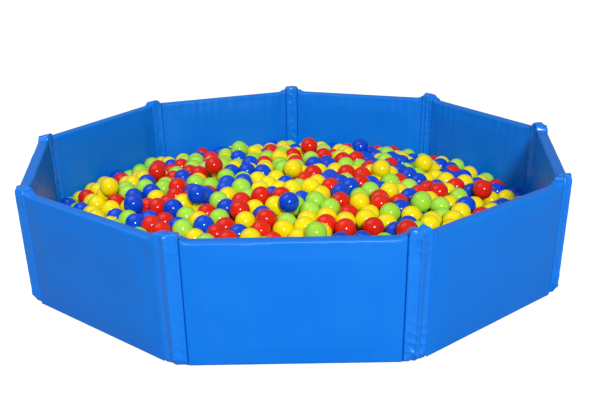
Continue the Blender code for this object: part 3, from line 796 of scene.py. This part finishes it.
def topBalls():  # a dome's middle has nothing higher close to it
    points = readPoints(frame["nodes"]["ball_heap"].data)
    points = np.unique(points[points[:, 2] > points[:, 2].max() / pit["footPart"]].round(5), axis=0)
    away = ((points[:, None, :2] - points[None, :, :2]) ** 2).sum(axis=2)
    higher = points[None, :, 2] > points[:, None, 2]
    tops = points[~(higher & (away < (pit["gather"] * pit["ball"] / 2) ** 2)).any(axis=1)]
    return tops - np.array([0, 0, pit["ball"] / 2])


def underBalls(fixed):  # balls that settle below the fixed ones, pushed apart inside the walls
    random = np.random.default_rng(pit["seed"])
    angles = ring["firstAngle"] + turn * np.arange(ring["walls"])
    sides = np.stack([np.cos(angles), np.sin(angles)], axis=1)
    ball = pit["ball"]
    reach = faceAway - wallThick - ring["crown"] - pit["wallGap"] - ball / 2
    scatter = random.uniform(-1, 1, (pit["scatter"] * len(fixed), 2)) * ridgeAway
    flat = scatter[((scatter @ sides.T) < reach).all(axis=1)][: int(pit["under"] * len(fixed))]
    nearest = ((flat[:, None, :] - fixed[None, :, :2]) ** 2).sum(axis=2).argmin(axis=1)
    places = np.concatenate([np.column_stack([flat, fixed[nearest, 2] - pit["drop"] * ball]), fixed])
    lowest = np.concatenate([fixed[nearest, 2] - pit["deepest"] * ball, fixed[:, 2]])
    lowest = np.maximum(lowest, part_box("mat_cover")[1].z + ball / 2)
    free = np.arange(len(places)) < len(flat)
    for number in range(pit["steps"]):
        if number % pit["listEvery"] == 0:
            gaps = ((places[:, None, :] - places[None, :, :]) ** 2).sum(axis=2)
            first, second = np.argwhere(np.triu(gaps < (pit["near"] * ball) ** 2, 1)).T
        places[free, 2] -= pit["fall"] * ball * (1 - number / pit["steps"])
        apart = places[first] - places[second]
        distance = np.linalg.norm(apart, axis=1)
        push = apart * (np.clip(ball - distance, 0, None) / np.maximum(distance, 1e-4) / 2)[:, None]
        moves = np.zeros_like(places)
        np.add.at(moves, first, push)
        np.add.at(moves, second, -push)
        places[free] += moves[free] * pit["relax"]
        for side in sides:
            places[:, :2] -= (np.clip(places[:, :2] @ side - reach, 0, None) * free)[:, None] * side
        places[free, 2] = np.maximum(places[free, 2], lowest[free])
    return places[free]


def unitBall(splits):
    shape = bmesh.new()
    bmesh.ops.create_icosphere(shape, subdivisions=splits, radius=pit["ball"] / 2)
    shape.verts.ensure_lookup_table()
    points = np.array([vert.co[:] for vert in shape.verts])
    faces = np.array([[vert.index for vert in face.verts] for face in shape.faces])
    shape.free()
    return points, faces


def ballsMesh(name, places, fine):
    balls = {True: unitBall(pit["fine"]), False: unitBall(pit["plain"])}
    points, faces, offset = [], [], 0
    for place, rich in zip(places, fine):
        ball, corners = balls[bool(rich)]
        points.append(ball + place)
        faces.append(corners + offset)
        offset += len(ball)
    mesh = bpy.data.meshes.new(name)
    mesh.from_pydata(np.concatenate(points).tolist(), [], np.concatenate(faces).tolist())
    mesh.shade_smooth()
    return mesh


def dressBalls(piece, node):
    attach(piece, standing)
    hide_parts(node)


def makeBalls():
    loose = {}
    for name in looseNames:
        low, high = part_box(name)
        loose[name] = np.array((low + high) / 2)
    top = topBalls()
    under = underBalls(np.concatenate([top, list(loose.values())]))
    places, fine = np.concatenate([top, under]), np.arange(len(top) + len(under)) < len(top)
    print("  balls on top:", len(top), "and under them:", len(under))
    drawn = np.random.default_rng(pit["colourSeed"]).permutation(len(places)) / len(places)
    edges = np.cumsum([0.0] + list(pit["mix"]))
    for order, colour in enumerate(ballShades):
        mine = (drawn >= edges[order]) & (drawn < edges[order + 1])
        piece = addPiece(f"bedBalls{colour.capitalize()}", ballsMesh("bed", places[mine], fine[mine]), colour)
        dressBalls(piece, "ball_heap")
    for name, place in loose.items():
        colour, number = name.split("_")[1:]
        piece = addPiece(f"looseBall{colour.capitalize()}{number}", ballsMesh(name, [place], [True]), colour)
        dressBalls(piece, name)
    print("balls made")


makeBalls()

# camera, at the place that the ring's corners give; the photo's size and middle are in its own pixels
view = dict(
    place=(0.0057, -2.9204, 1.1774), yaw=-0.58, pitch=25.41, roll=-1.24, focal=790.7, middle=(288.8, 288.0),
    photo=(600, 400), sensor=36,
)


def makeCamera():
    yaw, pitch, roll = (math.radians(view[key]) for key in ("yaw", "pitch", "roll"))
    ahead = Vector((math.sin(yaw) * math.cos(pitch), math.cos(yaw) * math.cos(pitch), -math.sin(pitch)))
    level = Vector((math.cos(yaw), -math.sin(yaw), 0))
    upward = level.cross(ahead)
    right = math.cos(roll) * level + math.sin(roll) * upward
    upward = -math.sin(roll) * level + math.cos(roll) * upward
    camera = bpy.data.objects.new("camera", bpy.data.cameras.new("camera"))
    scene.collection.objects.link(camera)
    turnTo = Matrix((right, upward, -ahead)).transposed()
    camera.matrix_world = Matrix.Translation(view["place"]) @ turnTo.to_4x4()
    wide, high = view["photo"]
    camera.data.sensor_width = view["sensor"]
    camera.data.lens = view["focal"] / wide * view["sensor"]
    camera.data.shift_x = (wide / 2 - view["middle"][0]) / wide
    camera.data.shift_y = (view["middle"][1] - high / 2) / wide
    scene.camera = camera


# light: a flash high behind the camera, a wide soft lamp above, and a white room
lamps = {
    "flash": dict(power=700, size=1.4, place=(1.2, -8.6, 4.6), aim=(0, 0, 0.15)),
    "overhead": dict(power=29, size=2.6, place=(-1.3, 0.0, 2.9), aim=(0.4, 0.4, 0)),
}
# the floor is grey paper that glows white for the camera only
room = dict(strength=0.27, paper=0.38, paperShown=0.88, paperRough=0.9, paperShine=0.1, floorReach=30)


def addLamp(name):
    look = lamps[name]
    lamp = bpy.data.lights.new(name, "AREA")
    lamp.shape, lamp.size, lamp.energy = "DISK", look["size"], look["power"]
    thing = bpy.data.objects.new(name, lamp)
    scene.collection.objects.link(thing)
    thing.location = look["place"]
    thing.rotation_mode = "QUATERNION"
    thing.rotation_quaternion = (Vector(look["aim"]) - Vector(look["place"])).to_track_quat("-Z", "Y")


def makeRoom():
    world = bpy.data.worlds.new("room")
    scene.world = world
    world.use_nodes = True
    sky = Nodes(world.node_tree)
    seen = sky.add("LightPath", {}, {}, "Is Camera Ray")
    background = sky.tree.nodes["Background"]
    sky.plug(background.inputs["Color"], (1, 1, 1, 1))
    sky.plug(background.inputs["Strength"], seen * (1 - room["strength"]) + room["strength"])


def makeFloor():
    far = room["floorReach"]
    mesh = bpy.data.meshes.new("floor")
    mesh.from_pydata([(-far, -far, 0), (far, -far, 0), (far, far, 0), (-far, far, 0)], [], [(0, 1, 2, 3)])
    skin = Skin("floorPaper")
    skins["floor"] = skin.material
    paper, shown = room["paper"], room["paperShown"]
    seen = skin.add("LightPath", {}, {}, "Is Camera Ray")
    skin.set(Base_Color=(paper, paper, paper, 1))
    skin.set(Roughness=room["paperRough"], Specular_IOR_Level=room["paperShine"])
    skin.set(Emission_Color=skin.mixed(seen, (0, 0, 0, 1), (shown, shown, shown, 1)), Emission_Strength=1.0)
    addPiece("floor", mesh, "floor")


makeCamera()
for lampName in lamps:
    addLamp(lampName)
makeRoom()
makeFloor()
scene.view_settings.view_transform = "Standard"
print("camera, light and floor made")
